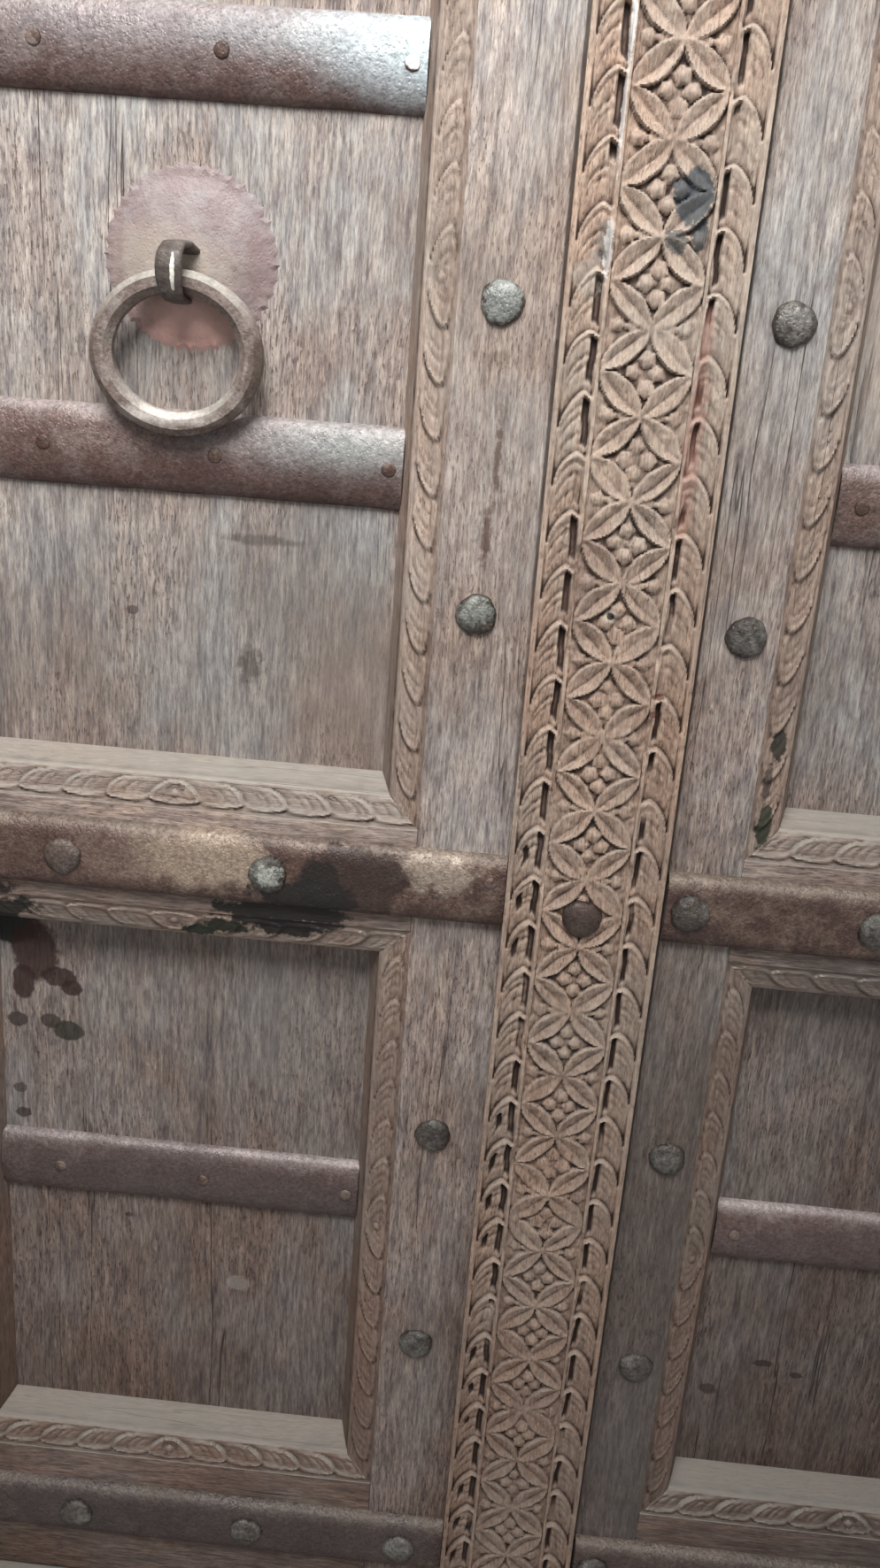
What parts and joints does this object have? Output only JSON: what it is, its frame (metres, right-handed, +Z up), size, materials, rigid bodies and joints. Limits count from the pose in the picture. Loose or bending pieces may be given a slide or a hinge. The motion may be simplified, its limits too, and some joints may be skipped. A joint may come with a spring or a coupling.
{
  "type": "carved double-leaf temple door with frame",
  "caption": "Framed and panelled wooden double door with carved mouldings and cover strip, iron straps, studs and ring pulls, in its own frame.",
  "frame": {"origin": "bottom centre of the frame: middle of the threshold underside in width and depth", "axes": "+X to the right seen from outside, +Y into the building through the doorway, +Z up"},
  "size_m": [1.148, 0.12, 2.156],
  "materials": {
    "frame_wood": "weathered, unvarnished",
    "peg_wood": "weathered, unvarnished",
    "stile_wood": "weathered grey-brown, dry",
    "rail_wood": "weathered grey-brown, dry",
    "panel_wood": "weathered, dry, dark grain",
    "strip_wood": "carved, warm tan, worn",
    "strap_iron": "rusty, oiled, pitted",
    "stud_iron": "worn grey iron",
    "nail_iron": "rusty",
    "plate_iron": "mauve rust, dusty",
    "ring_iron": "worn, dusty",
    "socket_iron": "rusty, greased"
  },
  "bodies": {
    "frame": {"frame_left_post": "frame_wood", "frame_lintel": "frame_wood", "frame_pegs": "peg_wood", "frame_right_post": "frame_wood", "frame_threshold": "frame_wood", "left_pin_socket": "socket_iron", "right_pin_socket": "socket_iron"},
    "left_leaf": {"cover_strip": "strip_wood", "cover_strip_studs": "stud_iron", "left_bottom_rail": "rail_wood", "left_bottom_rail_strap": "strap_iron", "left_hinge_stile": "stile_wood", "left_lower_panel": "panel_wood", "left_lower_panel_strap_1": "strap_iron", "left_lower_rail": "rail_wood", "left_lower_rail_strap": "strap_iron", "left_meeting_stile": "stile_wood", "left_middle_panel": "panel_wood", "left_middle_panel_strap_1": "strap_iron", "left_middle_panel_strap_2": "strap_iron", "left_nails": "nail_iron", "left_pull_eye": "ring_iron", "left_pull_plate": "plate_iron", "left_studs": "stud_iron", "left_top_rail": "rail_wood", "left_top_rail_strap": "strap_iron", "left_upper_panel": "panel_wood", "left_upper_panel_strap_1": "strap_iron", "left_upper_rail": "rail_wood", "left_upper_rail_strap": "strap_iron"},
    "right_leaf": {"right_bottom_rail": "rail_wood", "right_bottom_rail_strap": "strap_iron", "right_hinge_stile": "stile_wood", "right_lower_panel": "panel_wood", "right_lower_panel_strap_1": "strap_iron", "right_lower_rail": "rail_wood", "right_lower_rail_strap": "strap_iron", "right_meeting_stile": "stile_wood", "right_middle_panel": "panel_wood", "right_middle_panel_strap_1": "strap_iron", "right_middle_panel_strap_2": "strap_iron", "right_nails": "nail_iron", "right_pull_eye": "ring_iron", "right_pull_plate": "plate_iron", "right_studs": "stud_iron", "right_top_rail": "rail_wood", "right_top_rail_strap": "strap_iron", "right_upper_panel": "panel_wood", "right_upper_panel_strap_1": "strap_iron", "right_upper_rail": "rail_wood", "right_upper_rail_strap": "strap_iron"},
    "left_ring": {"left_pull_ring": "ring_iron"},
    "right_ring": {"right_pull_ring": "ring_iron"}
  },
  "joints": [
    {"name": "right_leaf_swing", "type": "hinge", "parent": "frame", "child": "right_leaf", "pos_m": [0.465, 0.0165, 0.06], "axis": [0, 0, -1], "range_deg": [0, 112]},
    {"name": "left_leaf_swing", "type": "hinge", "parent": "frame", "child": "left_leaf", "pos_m": [-0.465, 0.0165, 0.06], "axis": [0, 0, 1], "range_deg": [0, 90]},
    {"name": "left_ring_swing", "type": "hinge", "parent": "left_leaf", "child": "left_ring", "pos_m": [-0.274, 0.006, 1.0555], "axis": [-1, 0, 0], "range_deg": [0, 150]},
    {"name": "right_ring_swing", "type": "hinge", "parent": "right_leaf", "child": "right_ring", "pos_m": [0.264, 0.006, 1.0555], "axis": [-1, 0, 0], "range_deg": [0, 150]}
  ],
  "couplings": [
    {"joint": "left_leaf_swing", "follows": "right_leaf_swing", "ratio": 0.8}
  ]
}
